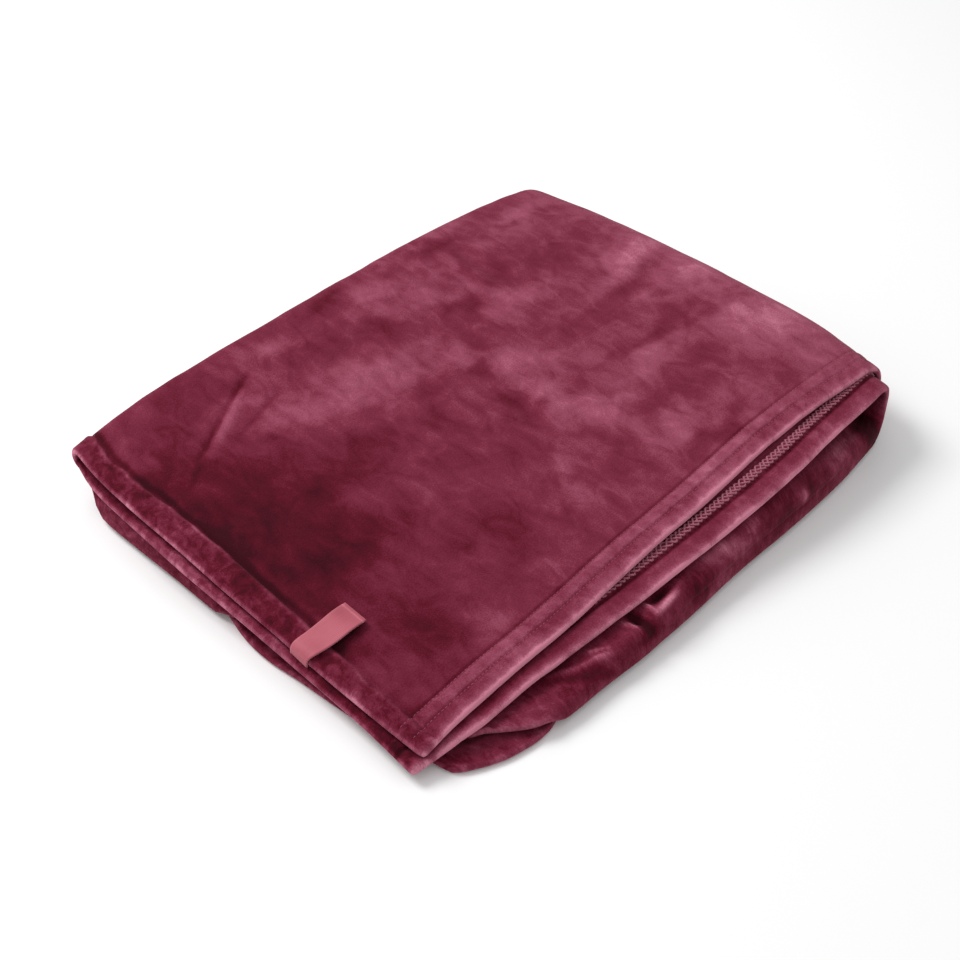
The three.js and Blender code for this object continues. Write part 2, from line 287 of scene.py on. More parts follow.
# Pile brushed the other way shades the top face, and one patch is the label's painted shadow: patches in
# plan, dark below zero
NAP_AND_PAINTED_SHADOW = table(["x", "y", "long", "wide", "angle", "tone"], [
    [-190, 38, 62, 42, 80, -0.85],
    [-183, -28, 48, 34, 60, -0.7],
    # a dark strip along the inside of the end hem
    [-219, 0, 140, 9, 90, -0.55],
    [-148, -35, 40, 26, 0, -0.3],
    [-182, -116, 34, 22, 90, -0.6],
    [-112, 26, 36, 16, -10, -0.4],
    [-182, 140, 36, 26, 45, -0.3],
    [-219, 110, 24, 12, 60, -0.35],
    [-134, 145, 10, 8, 0, -0.35],
    [-14, 167, 20, 7, 0, -0.5],
    [5, 112, 18, 14, 90, -0.4],
    [-55, 130, 22, 16, 0, -0.2],
    [67, 92, 16, 12, 0, -0.5],
    [42, 70, 17, 11, 90, -0.3],
    [115, 101, 14, 10, 90, -0.4],
    [97, 164, 38, 9, 0, -0.55],
    [175, 107, 54, 28, 0, -0.3],
    [21, 29, 13, 10, 90, -0.55],
    [11, -22, 24, 10, 90, -0.5],
    [-12, 40, 18, 11, 0, -0.35],
    [-41, 20, 12, 10, 0, -0.35],
    [158, -30, 28, 9, 8, -0.4],
    [115, -30, 11, 10, 0, -0.35],
    [94, -96, 32, 14, 0, -0.35],
    [150, -82, 11, 10, 0, -0.4],
    [33, -107, 20, 10, 90, -0.35],
    [76, -139, 40, 10, 0, -0.45],
    [-88, -90, 58, 42, 0, -0.28],
    [220, -27, 11, 7, 0, -0.3],
    [-72, 92, 88, 26, -26, 0.32],
    [-112, 88, 26, 12, -30, 0.35],
    [-62, 78, 24, 11, 0, 0.12],
    [-20, 76, 32, 18, 0, 0.25],
    [-76, 160, 20, 11, 0, 0.5],
    [30, 150, 18, 14, 0, 0.5],
    [98, 70, 22, 12, 10, 0.35],
    [95, 130, 20, 9, 90, 0.25],
    [45, 25, 17, 14, 0, 0.5],
    [36, -16, 24, 10, 90, 0.5],
    [50, -65, 18, 16, 0, 0.65],
    [-16, -79, 14, 10, 0, 0.45],
    [-25, -112, 20, 11, 90, 0.3],
    [142, 135, 20, 11, 0, 0.35],
    [195, 148, 18, 13, 0, 0.5],
    [206, 40, 34, 12, 12, 0.4],
    [176, -3, 20, 8, 8, 0.3],
    [205, -80, 44, 36, 90, 0.36],
    [115, -55, 28, 15, 0, 0.3],
    [90, -115, 42, 12, 0, 0.35],
    # the label's painted shadow on the cloth beside it
    [-226, -86, 17, 4, 8, -1.2],
    [-80, 37, 24, 12, 0, 0.2],
    [62, 18, 18, 30, 0, 0.28],
    [32, -32, 18, 28, 0, 0.22],
    [6, 60, 26, 16, 0, 0.22],
    [-42, -100, 24, 12, 0, 0.28],
    [-90, -126, 14, 10, 0, 0.35],
    [-152, 62, 18, 18, 0, -0.3],
    [-150, -2, 10, 14, 0, -0.3],
    [-148, -88, 18, 18, 0, -0.22],
    [140, 112, 26, 18, 0, 0.2],
    [-205, 112, 18, 14, 0, -0.3],
    [-88, 72, 14, 10, 0, -0.25],
    [-156, -140, 16, 12, 0, 0.5],
    [-194, 92, 12, 4, 5, -0.5],
])

# Patches on layer 3's roll, by x and distance in from its hem edge: painted shade in the pockets and
# hollows of its folds and painted light on their crests, with some brushed pile
BANK_NAP_AND_PAINTED_LIGHT = table(["x", "y", "long", "wide", "angle", "tone"], [
    [-73, 25, 3.4, 9, 0, -1.5],
    [-72, 15, 6, 5, 0, -0.7],
    [-60, 26, 2, 6, 0, 0.8],
    [-49, 22, 12, 2.2, 8, 0.9],
    [-49, 29, 9, 3.4, 0, -0.8],
    [-80, 25, 1.8, 8, 14, 0.7],
    [-110, 24.5, 7, 1.4, -30, 0.6],
    [-115, 19, 12, 2.4, -14, 0.5],
    [-138, 27, 14, 2.4, -24, 0.4],
    [-126, 14, 24, 4, -24, -0.4],
    [-140, 31, 14, 5, 0, -0.5],
    [14, 25, 22, 6, -10, 0.6],
    [44, 24, 10, 9, 0, 0.35],
    [168, 24, 26, 7, 0, 0.5],
    [190, 14, 8, 10, 0, 0.4],
    [103, 18, 1.8, 13, -18, 0.8],
    [111, 18, 4, 12, -18, -0.4],
    [84, 16, 24, 9, 0, -0.3],
    [-22, 16, 16, 9, 0, -0.35],
    [126, 20, 12, 10, 0, -0.3],
    [209, 19, 13, 13, 0, -1.1],
    [214, 8, 9, 8, 0, -0.6],
])


def within(rows, at):
    """Places kept to the range of a table's first column."""
    knots = next(iter(rows.values()))
    return np.clip(at, knots[0], knots[-1])


def noise(x, y, size, seed):
    """Smooth value noise from -1 to 1, with features of about one size."""
    x, y = np.broadcast_arrays(np.asarray(x / size, float), np.asarray(y / size, float))
    i, j = np.floor(x), np.floor(y)

    def corner(di, dj):
        value = np.sin((i + di) * 127.1 + (j + dj) * 311.7 + seed * 74.7) * 43758.5453
        return 2 * (value - np.floor(value)) - 1

    across = smooth(x - i, 0, 1)
    return lerp(lerp(corner(0, 0), corner(1, 0), across),
                lerp(corner(0, 1), corner(1, 1), across), smooth(y - j, 0, 1))


def layered(x, y, *octaves):
    """Sum of noise at several sizes, from (amount, size, seed) triples."""
    return sum(amount * noise(x, y, size, seed) for amount, size, seed in octaves)


def line_bumps(rows, x, y):
    """Sum of soft ridges and troughs along short lines, fading towards their ends."""
    total = 0
    for x1, y1, x2, y2, width, rise in zip(*rows.values()):
        dx, dy = x2 - x1, y2 - y1
        t = np.clip(((x - x1) * dx + (y - y1) * dy) / (dx * dx + dy * dy), 0, 1)
        away = np.hypot(x - x1 - t * dx, y - y1 - t * dy) / width
        total = total + rise * (0.4 + 0.6 * np.sin(math.pi * t)) * np.exp(-away * away)
    return total


def patches(rows, x, y):
    """Sum of soft oval patches."""
    total = 0
    for px, py, long, wide, angle, tone in zip(*rows.values()):
        c, s = math.cos(math.radians(angle)), math.sin(math.radians(angle))
        a = ((x - px) * c + (y - py) * s) / long
        b = ((y - py) * c - (x - px) * s) / wide
        total = total + tone * np.exp(-(a * a + b * b) ** 1.3)
    return total


def top_height(x, y):
    """Height of the top layer's outer face."""
    warp = 3 * noise(x, y, 20, 11)
    soft = 0.8 * noise(x, y, 64, 1) + 0.45 * noise(x + 0.6 * y, y, 26, 2)
    inland = smooth(x, -250, -215) * smooth(y, -182, -150)
    off_folds = (1 - smooth(y, 145, 176)) * (1 - 0.92 * smooth(x, 185, 220))
    waves = line_bumps(WAVES, x + warp, y + warp) + line_bumps(CREASES, x, y)
    return height(TOP, x, y) + (waves + soft * inland) * off_folds


def roll(edge, drop, shape, amount):
    """Bend of a layer down to the floor: its turn and radius, the line where it starts, and where the
    unrolled cloth would end."""
    full_turn = shape["turn"]
    radius = np.clip(shape["share"] * drop, *shape["radius"])
    turn = full_turn * amount
    fall = np.maximum(drop - FLOOR_GAP - radius * (1 - math.cos(full_turn)), 0)
    straight = fall / math.sin(full_turn) * amount
    line = edge + radius * np.sin(turn) + straight * np.cos(turn)
    return {"turn": turn, "radius": radius, "line": line, "start": line - radius * turn - straight}


def roll_down(at, offset, bend):
    """Place and drop of points on a rolled layer, from their place on it unrolled."""
    past = np.maximum(bend["line"] - at, 0)
    angle = np.minimum(past / bend["radius"], bend["turn"])
    rest = np.maximum(past - bend["radius"] * bend["turn"], 0)
    reach = bend["radius"] + offset
    out = reach * np.sin(angle) + rest * np.cos(angle)
    drop = bend["radius"] - reach * np.cos(angle) + rest * np.sin(angle)
    return np.where(past > 0, bend["line"] - out, at), drop


def edge_share(distance, radius):
    """Share of the full thickness near a rounded edge."""
    left = (radius - np.minimum(distance, radius)) / radius
    return np.maximum(EDGE_THINNEST, np.sqrt(np.maximum(1 - left * left, 0)))


def fade(distance, width):
    """1 in a hem of that width, falling to 0 past its seam."""
    return 1 - smooth(distance, width - 3, width - 3 + HEM_FADE)


def stations(first, last, first_shares, last_shares, bend_steps):
    """Columns that say where each station of the sheet is: on its first run, round a fold, or on its
    last run, by its distance in from the hem edge, by its share of the run, or by its turn."""
    rows = [(0, d, 0, 0) for d in first]
    rows += [(0, first[-1], s, 0) for s in first_shares]
    rows += [(1, 0, 0, math.pi * k / bend_steps) for k in range(bend_steps + 1)]
    rows += [(2, last[-1], s, 0) for s in reversed(last_shares)]
    rows += [(2, d, 0, 0) for d in reversed(last)]
    part, edge, share, turn = (np.array(c, float) for c in zip(*rows))
    return {"first": part == 0, "bend": part == 1, "last": part == 2,
            "edge": edge, "share": share, "turn": turn}


def steps(*pieces):
    """Distances from (stop, step) pairs, from 0."""
    out = [0.0]
    for stop, step in pieces:
        n = max(1, round((stop - out[-1]) / step))
        out += list(np.linspace(out[-1], stop, n + 1)[1:])
    return out


def shares(*pieces):
    """Shares of a run from (stop, count) pairs, between 0 and 1."""
    out = [0.0]
    for stop, count in pieces:
        out += list(np.linspace(out[-1], stop, count + 1)[1:])
    return out[1:-1]


def beyond_fold(station):
    """0 on the first run, 1 on the last run, and rising round the fold between them."""
    return np.where(station["bend"], (1 - np.cos(station["turn"])) / 2, station["last"] * 1.0)


def by_edge(station):
    """Whether a station is placed by its distance in from the hem edge."""
    return ~station["bend"] & (station["share"] == 0)


def run_along(station, start, stop):
    """Places of stations along a run between its hem edge and its fold."""
    return lerp(start + station["edge"], stop, station["share"])


def sheet_points(u, v, face):
    """Both coordinates are columns of stations; the result is a grid of plan points and heights."""
    lower, inner = np.broadcast_arrays(beyond_fold(u), beyond_fold(v))
    on_top = lower < 0.5
    x = np.full(lower.shape, float(RUN_END))
    y = np.zeros(lower.shape)
    for _ in range(5):
        at = within(END_EDGE, y)
        edge = lerp(
            np.where(on_top, curve(END_EDGE, "layer1", at), curve(END_EDGE, "layer4", at)),
            np.where(on_top, curve(END_EDGE, "layer2", at), curve(END_EDGE, "layer3", at)),
            inner,
        )
        drop = height(THIRD, END_ROLL["at"], y)
        amount = smooth(y, *END_ROLL["rise"]) * (1 - smooth(y, *END_ROLL["fall"])) * inner * ~on_top
        end = roll(edge, drop, END_ROLL, amount)
        x = np.where(u["bend"], RUN_END, run_along(u, end["start"], RUN_END))
        bent = np.where(u["bend"], RUN_END + (FOLD_REACH - RUN_END) * np.sin(u["turn"]), x)
        xq = np.clip(bent, -FOLD_REACH, FOLD_REACH)
        rim = lerp(curve(FIRST_FOLD, "upper", xq), curve(FIRST_FOLD, "lower", xq), lower)
        gap = lerp(curve(FIRST_FOLD, "upper_gap", xq), curve(FIRST_FOLD, "lower_gap", xq), lower)
        radius = (gap + CLOTH) / 2
        centre = rim - radius - CLOTH / 2
        outer_edge = lerp(curve(SIDE_EDGE, "layer1", xq), curve(SIDE_EDGE, "layer4", xq), lower)
        inner_edge = lerp(curve(SIDE_EDGE, "layer2", xq), curve(SIDE_EDGE, "layer3", xq), lower)
        drop = height(THIRD, np.minimum(xq, RUN_END), ACROSS["side"])
        amount = lower ** 1.5 * smooth(x, *SIDE_ROLL["rise"])
        side = roll(inner_edge, drop, SIDE_ROLL, amount)
        across = np.where(v["first"], run_along(v, outer_edge, centre),
                          np.where(v["last"], run_along(v, side["start"], centre), centre))
        y = np.where(v["last"], np.maximum(across, inner_edge), across)

    # Thickness, thicker at the hems and rounded over at their edges
    at_end, at_side = by_edge(u), by_edge(v)
    end_hem = np.where(at_end, fade(u["edge"], END_HEM["width"]), 0)
    side_hem = np.where(at_side, fade(v["edge"], SIDE_HEM["width"]), 0)
    full = CLOTH + np.maximum((END_HEM["thickness"] - CLOTH) * end_hem,
                              (SIDE_HEM["thickness"] - CLOTH) * side_hem)
    extra = full - CLOTH
    share = np.minimum(np.where(at_end, edge_share(u["edge"], full / 2), 1),
                       np.where(at_side, edge_share(v["edge"], full / 2), 1))
    half = face * full * share / 2

    # Depth below the outer face
    xz = np.clip(x, -FOLD_REACH, RUN_END)
    loop = CLOTH / 2 + 2 * radius
    spread = smooth(1 - (centre - across) / SPREAD_REACH, 0, 1)
    room = np.maximum((END_HEM["thickness"] - CLOTH) * (1 - smooth(xz, *END_ROOM)),
                      (SIDE_HEM["thickness"] - CLOTH) * (1 - smooth(across, *SIDE_ROOM)))
    upper = 1.5 * CLOTH + LAYER_GAP + (gap - LAYER_GAP) * spread + room
    under = lerp(loop, height(THIRD, xz, y), smooth(centre - across, 0, THIRD_REACH))
    middle = np.where(v["bend"], loop, lerp(upper, under, lower))
    cosine = np.cos(v["turn"])
    depth = np.where(
        v["bend"],
        -CLOTH / 2 - radius + (radius + half) * cosine - extra / 4 * lower * (1 + cosine),
        np.where(v["first"], -CLOTH / 2 - extra / 2 * lower + half, -middle - half),
    )
    rolled_at, rolled_drop = roll_down(across, half, side)
    rolling = v["last"] & (side["turn"] > 0.001) & (across < side["line"])
    across = np.where(v["bend"], centre + (radius + half) * np.sin(v["turn"]), across)
    depth = np.where(rolling, rolled_drop - middle, depth)
    across = np.where(rolling, rolled_at, across)

    # The second fold carries the runs round from the top to the floor
    bend = top_height(float(RUN_END), across) / 2
    fold_x = curve(SECOND_FOLD, "crown", within(SECOND_FOLD, across)) - bend
    shifted = x + (fold_x - RUN_END) * smooth(x, FOLD_SHIFT_FROM, RUN_END)
    point_x = np.where(u["bend"], fold_x + (bend + depth) * np.sin(u["turn"]), shifted)
    point_z = np.where(u["bend"], bend + (bend + depth) * np.cos(u["turn"]),
                       np.where(on_top, top_height(xz, across) + depth, -depth))
    end_at, end_drop = roll_down(x, -depth - middle, end)
    falling = u["last"] & ~v["first"] & (end["turn"] > 0.001) & (x < end["line"])
    point_x = np.where(falling, end_at, point_x)
    point_z = np.where(falling, middle - end_drop, point_z)
    return np.stack([point_x, across, point_z], -1)


def grid_faces(rows, columns):
    """Quads of a closed skin over two grids of points, the outer face first."""
    i, j = (a.ravel() for a in np.meshgrid(range(rows - 1), range(columns - 1), indexing="ij"))
    a, b, c, d = i * columns + j, (i + 1) * columns + j, (i + 1) * columns + j + 1, i * columns + j + 1
    n = rows * columns
    quads = [np.stack([a, b, c, d], 1), np.stack([a + n, d + n, c + n, b + n], 1)]
    i = np.arange(rows - 1)
    low, high = i * columns, i * columns + columns - 1
    quads.append(np.stack([low, low + n, low + columns + n, low + columns], 1))
    quads.append(np.stack([high, high + columns, high + columns + n, high + n], 1))
    j = np.arange(columns - 1)
    near, far = j, (rows - 1) * columns + j
    quads.append(np.stack([near, near + 1, near + 1 + n, near + n], 1))
    quads.append(np.stack([far, far + n, far + 1 + n, far + 1], 1))
    return np.concatenate(quads)


def build_mesh(name, points, faces, flat=None, **values):
    """Smooth-shaded mesh, with the flat cloth position in metres as its UV map and one number a point
    for each named value."""
    mesh = bpy.data.meshes.new(name)
    mesh.from_pydata((points.reshape(-1, 3) + ORIGIN) * 0.001, [], faces.tolist())
    mesh.polygons.foreach_set("use_smooth", [True] * len(mesh.polygons))
    if flat is not None:
        layer = mesh.uv_layers.new(name="flat")
        loops = np.zeros(len(mesh.loops), np.int32)
        mesh.loops.foreach_get("vertex_index", loops)
        layer.data.foreach_set("uv", flat.reshape(-1, 2)[loops].ravel() * 0.001)
    for key, value in values.items():
        mesh.attributes.new(key, "FLOAT", "POINT").data.foreach_set("value", value.ravel())
    mesh.update()
    piece = bpy.data.objects.new(name, mesh)
    bpy.context.scene.collection.objects.link(piece)
    return piece


# Blanket: stations about 1 mm apart across the hems, and 3 to 12 mm apart elsewhere, closest where the
# surface shows and creases
outer_steps = steps((2, 0.5), (27, 1.0))
inner_steps = steps((2, 0.5), (28, 1.0), (44, 2))
along = stations(steps((2, 0.5), (28, 1.3)), steps((2, 0.5), (28, 1.3), (44, 2)),
                 shares((1, 98)), shares((0.45, 56), (1, 20)), 22)
around = stations(outer_steps, inner_steps, shares((0.7, 42), (0.93, 25), (1, 5)), shares((1, 28)), 14)
along = {name: column[:, None] for name, column in along.items()}
around = {name: column[None, :] for name, column in around.items()}
outside = sheet_points(along, around, 1)
inside = sheet_points(along, around, -1)
rows, columns = outside.shape[:2]
middle = (outside + inside) / 2
normal = outside - inside
normal /= np.linalg.norm(normal, axis=-1, keepdims=True)

# Distances in from the hem edges, and how far each point belongs to each of the four layers
FAR_IN = 99.0
end_distance, side_distance = np.broadcast_arrays(
    *(np.where(by_edge(station), station["edge"], FAR_IN) for station in (along, around)))
lower, inner = beyond_fold(along), beyond_fold(around)
first, second = (1 - lower) * (1 - inner), (1 - lower) * inner
third, fourth = lower * inner, lower * (1 - inner)
plan_x, plan_y = middle[..., 0], middle[..., 1]


CORNER = 5.5
DRAWN_BACK = table(["back", "y_from", "y_to", "x_from", "x_to"], [
    [3.5, 115, 168, -250, -200],
    [2.5, 163, 178, -250, -225],
])


def round_corners(points):
    """The hem corners are rounded, and the lower fold draws back at the open end."""
    a = 1 - np.minimum(end_distance / CORNER, 1)
    b = 1 - np.minimum(side_distance / CORNER, 1)
    back = sum(by * lower * smooth(plan_y, y1, y2) * (1 - smooth(plan_x, x1, x2))
               for by, y1, y2, x1, x2 in zip(*DRAWN_BACK.values()))
    points[..., 0] += CORNER * a * (1 - np.sqrt(1 - b * b / 2)) + back
    points[..., 1] += CORNER * b * (1 - np.sqrt(1 - a * a / 2))


for grid in (outside, inside, middle):
    round_corners(grid)


def running_length(line):
    """Length along a line of points up to each of them."""
    return np.concatenate([[0], np.cumsum(np.linalg.norm(np.diff(line, axis=0), axis=1))])


# Flat cloth position of each point, from one line of the middle surface each way
flat_u, flat_v = np.meshgrid(running_length(middle[:, columns // 4]), running_length(middle[rows // 4]),
                             indexing="ij")


def groove(distance, at, width):
    return np.exp(-((distance - at) / width) ** 2)


def swelling(distance, reach):
    """Rounded swelling between a hem edge and its seam."""
    return np.maximum(1 - ((distance - reach / 2) / (reach / 2)) ** 2, 0)


def bands(rows, distance):
    """Sum of soft bands along a hem, from amounts, distances and widths."""
    return sum(amount * groove(distance, at, width) for amount, at, width in zip(*rows.values()))


# Bands along the hems: relief past the end seam, relief round the looper, and the painted shade in the
# seam and looper grooves
LOOPER_MID = (LOOPER_NEAR + LOOPER_FAR) / 2
BAND = ["amount", "at", "width"]
END_SEAM_RELIEF = table(BAND, [[0.5, -2.8, 1.6], [-1.5, 0.6, 1.8]])
LOOPER_RELIEF = table(BAND, [
    [-1.4, LOOPER_NEAR - 1.7, 1.5],
    [-1.0, LOOPER_FAR + 1.2, 1.2],
    [0.4, LOOPER_MID, 3.4],
])
SEAM_SHADE = table(BAND, [[-0.25, SEAM_NEAR, 1.2], [-0.4, SEAM_FAR + 1.2, 1.4]])
LOOPER_SHADE = table(BAND, [[-0.8, LOOPER_NEAR - 1.8, 1.9], [-0.2, LOOPER_MID, 3]])

# Zones of the hems
end_seam = curve(END_SEAM, "seam", plan_y) + layered(flat_v, flat_u, (1.2, 15, 3), (0.5, 6, 4))
past_seam = end_distance - end_seam
in_end_hem = 1 - smooth(past_seam, -1, 1)
in_side_hem = 1 - smooth(side_distance, SEAM_FAR - 1, SEAM_FAR + 1)
between_seams = in_side_hem * smooth(side_distance, SEAM_NEAR, SEAM_NEAR + 2)
far_end = smooth(plan_x, 90, 190)
near_corner = 1 - smooth(plan_y, -110, -60)

# Relief of the pile and seams on each face
PUFF = 1.4
PUFF_LOST = 0.8
HEM_LUMPS = ((0.7, 11, 5), (0.35, 5, 6))
SIDE_LUMPS = 0.25
PILE = (0.25, 14, 7)
SEAM_DEPTH = 0.7
SEAM_WIDTH = 1.1
WRONG_SWELLING = 16
PRESSED = 0.9

lumps = layered(flat_u, flat_v, *HEM_LUMPS)
pile = layered(flat_u, flat_v, PILE)
puff = PUFF - PUFF_LOST * smooth(plan_y, 140, 175)
end_relief = (puff * swelling(end_distance, end_seam) + lumps * in_end_hem
              + bands(END_SEAM_RELIEF, past_seam))

# The end hems lie flat where the layer above or the label covers them
edge_above = curve(END_EDGE, "layer1", within(END_EDGE, plan_y))
under_first = smooth(plan_x - edge_above, -3, 1) * smooth(plan_y, -183, -179)
under_label = 1 - smooth(np.abs(plan_y - LABEL_Y), LABEL_WIDTH / 2 + 1, LABEL_WIDTH / 2 + 5)
covered = second * np.maximum(under_first, under_label) + third * smooth(plan_y, -192, -186)
end_relief = end_relief * (1 - PRESSED * covered)

seam_depth = SEAM_DEPTH * (1 - 0.6 * lower) * (1 - 0.5 * far_end)
seams = groove(side_distance, SEAM_NEAR, SEAM_WIDTH) + groove(side_distance, SEAM_FAR, SEAM_WIDTH)
side_lumps = SIDE_LUMPS * lumps * in_side_hem
right_side = (end_relief + side_lumps + 0.3 * swelling(side_distance, SEAM_NEAR) + 0.25 * between_seams
              - seam_depth * seams)
wrong_side = (end_relief + side_lumps + 0.5 * swelling(side_distance, WRONG_SWELLING)
              + bands(LOOPER_RELIEF, side_distance))
off_edges = smooth(side_distance, 0, 3) * smooth(end_distance, 0, 3)
right_side = (right_side * (first + third) + pile) * off_edges
wrong_side = (wrong_side * second + pile * fourth) * off_edges

# Creases of the roll and the wavy side edges move both faces
WAVER = ((0.7, 34, 23), (0.35, 13, 24))
WAVER_REACH = 14
waver = (layered(flat_u, 0 * flat_v, *WAVER) * groove(side_distance, 0, WAVER_REACH)
         * (1 - lower) * (1 - 2 * inner) * smooth(plan_x, -240, -200))
crease = third * line_bumps(BANK, plan_x, side_distance) * smooth(side_distance, 0, 8)
outside = outside + normal * (crease + right_side + waver)[..., None]
inside = inside + normal * (crease - wrong_side + waver)[..., None]

# Shade of the pile, from -1 dark to 1 light: first the painted highlights along the rounded hem rims,
# where the sheen would catch the light
RIM_HIGHLIGHT_NOISE = ((0.3, 26, 21), (0.25, 9, 22))
end_rim_highlight = groove(end_distance, 0, 1.3) * (1 + 0.3 * noise(flat_v, flat_u, 7, 16))
side_rim_highlight = groove(side_distance, 0, 2.2) + 0.55 * groove(side_distance, 1, 5)
side_rim_highlight = side_rim_highlight * (1 + layered(flat_u, flat_v, *RIM_HIGHLIGHT_NOISE)) * (1 - 0.35 * far_end * (1 - lower))
rim_highlights = (1 - 0.6 * lower) * np.maximum(1.2 * end_rim_highlight, side_rim_highlight)

# The top face: brushed patches, warped so that they look natural, a lighter tone towards the second fold,
# painted shade in the creases and painted light on their ridges, and the hems with painted shade in their
# seam grooves
WAVE_SHADE = 0.13
CREASE_SHADE = 0.4
warp_x = plan_x + layered(plan_x, plan_y, (9, 24, 8), (4, 9, 9))
warp_y = plan_y + layered(plan_x, plan_y, (9, 24, 12), (4, 9, 13))
# End hems: darker and mottled, a painted highlight along the crest just before the seam, broken up by
# noise, and a painted shadow at the step past it
broken_highlight = 0.6 + layered(flat_v, flat_u, (0.5, 13, 14), (0.3, 5, 15))
mottle = layered(flat_v, flat_u, (0.3, 12, 17), (0.2, 6, 18))
end_shade = ((mottle - 0.3 - 0.35 * groove(plan_y, -25, 50)) * in_end_hem
             + 0.75 * broken_highlight * groove(past_seam, -2.8, 1.8)
             - (0.9 - 0.6 * near_corner) * groove(past_seam, 2.6, 2.8))
side_shade = (0.12 * in_side_hem + 0.3 * between_seams
              + bands(SEAM_SHADE, side_distance)) * (1 - 0.6 * far_end)
towards_fold = 0.22 * smooth(plan_x, -60, 50) + 0.3 * smooth(plan_x, 185, 230)
nap_shade = (patches(NAP_AND_PAINTED_SHADOW, warp_x, warp_y) + towards_fold) * (1 - 0.8 * in_end_hem)
crease_shade = (WAVE_SHADE * line_bumps(WAVES, warp_x, warp_y)
                + CREASE_SHADE * line_bumps(CREASES, plan_x, plan_y))
top_shade = (nap_shade * (1 - 0.6 * in_side_hem) + crease_shade * (1 - in_end_hem)
             + end_shade + side_shade * (1 - 0.8 * in_end_hem))

# The wrong side that shows as a strip under the top layer: a painted highlight just in from its end hem's
# edge, painted shadow under the top layer's side edge towards the open end, and painted shade in the
# looper's grooves. The roll of layer 3: a darker tone, with painted shade and light along its creases and
# folds
lit = (1 - near_corner) * (1 - 0.75 * smooth(plan_y, 60, 110))
strip_shade = (end_shade + 0.05 + 1.2 * groove(end_distance, 3.5, 4) * lit
               - 0.5 * (1 - smooth(plan_x, -150, -90)) * smooth(side_distance, 2, 8)
               - 0.1 * smooth(side_distance, LOOPER_FAR - 1, LOOPER_FAR + 1.5)
               + bands(LOOPER_SHADE, side_distance))
bank_shade = -0.22 + 1.45 * patches(BANK_NAP_AND_PAINTED_LIGHT, plan_x, side_distance) + 0.12 * crease

# Tone of each face, with the painted rim highlights added to both
out_shade = first * top_shade + third * bank_shade - 0.15 * second + rim_highlights
in_shade = second * strip_shade - 0.35 * fourth - 0.15 * (first + third) + rim_highlights
blanket = build_mesh("blanket", np.stack([outside, inside]), grid_faces(rows, columns),
                     np.stack([np.stack([flat_u, flat_v], -1)] * 2),
                     shade=np.stack([out_shade, in_shade]),
                     fuzz=np.stack([np.maximum(in_end_hem, 0.4 * in_side_hem)] * 2),
                     bank=np.stack([third, fourth]))


# Seam threads
def rail(points, steps_in, last, distance):
    """Points along the cloth at one distance in from a side hem's edge."""
    at = np.interp(distance, steps_in, np.arange(len(steps_in)))
    k = int(at)
    near, far = (columns - 1 - k, columns - 2 - k) if last else (k, k + 1)
    return lerp(points[:, near], points[:, far], at - k)


def walk(lines, at):
    """Values of several lines of rows at running lengths along the first."""
    length = running_length(lines[0])
    return [np.stack([np.interp(at, length, line[:, k]) for k in range(3)], -1) for line in lines]


def threads(name, paths, up, radius, sides=5):
    """Round threads along paths of the same number of points."""
    ahead = np.gradient(paths, axis=1)
    ahead /= np.linalg.norm(ahead, axis=-1, keepdims=True)
    side = np.cross(ahead, up)
    side /= np.linalg.norm(side, axis=-1, keepdims=True)
    above = np.cross(side, ahead)
    angles = np.arange(sides) * 2 * math.pi / sides
    rings = paths[:, :, None] + radius * (np.cos(angles)[:, None] * side[:, :, None]
                                          + np.sin(angles)[:, None] * above[:, :, None])
    count, length = paths.shape[:2]
    index = np.arange(count * length * sides).reshape(count, length, sides)
    turned = np.roll(index, -1, axis=2)
    quads = np.stack([index[:, :-1], turned[:, :-1], turned[:, 1:], index[:, 1:]], -1).reshape(-1, 4)
    faces = quads.tolist() + index[:, 0, ::-1].tolist() + index[:, -1].tolist()
    return build_mesh(name, rings, np.array(faces, dtype=object))


STITCH_PITCH = 3.3
STITCH_LENGTH = 2.6
STITCH_MARGIN = 6
STITCH_SINK = 0.4
STITCH_RISE = 0.5
THREAD = 0.24
last_row = int(np.argmax(along["last"][:, 0])) - 4
paths, ups = [], []
for distance in (SEAM_NEAR, SEAM_FAR):
    line = [rail(grid, outer_steps, False, distance)[:last_row] for grid in (outside, normal)]
    starts = np.arange(STITCH_MARGIN, running_length(line[0])[-1] - STITCH_MARGIN, STITCH_PITCH)
    t = np.linspace(0, 1, 5)
    spots, up = (points.reshape(len(starts), 5, 3)
                 for points in walk(line, (starts[:, None] + STITCH_LENGTH * t).ravel()))
    rise = STITCH_RISE * np.sin(math.pi * t) - STITCH_SINK
    paths.append(spots + up * rise[:, None])
    ups.append(up)
stitches = threads("hem_stitches", np.concatenate(paths), np.concatenate(ups), THREAD)

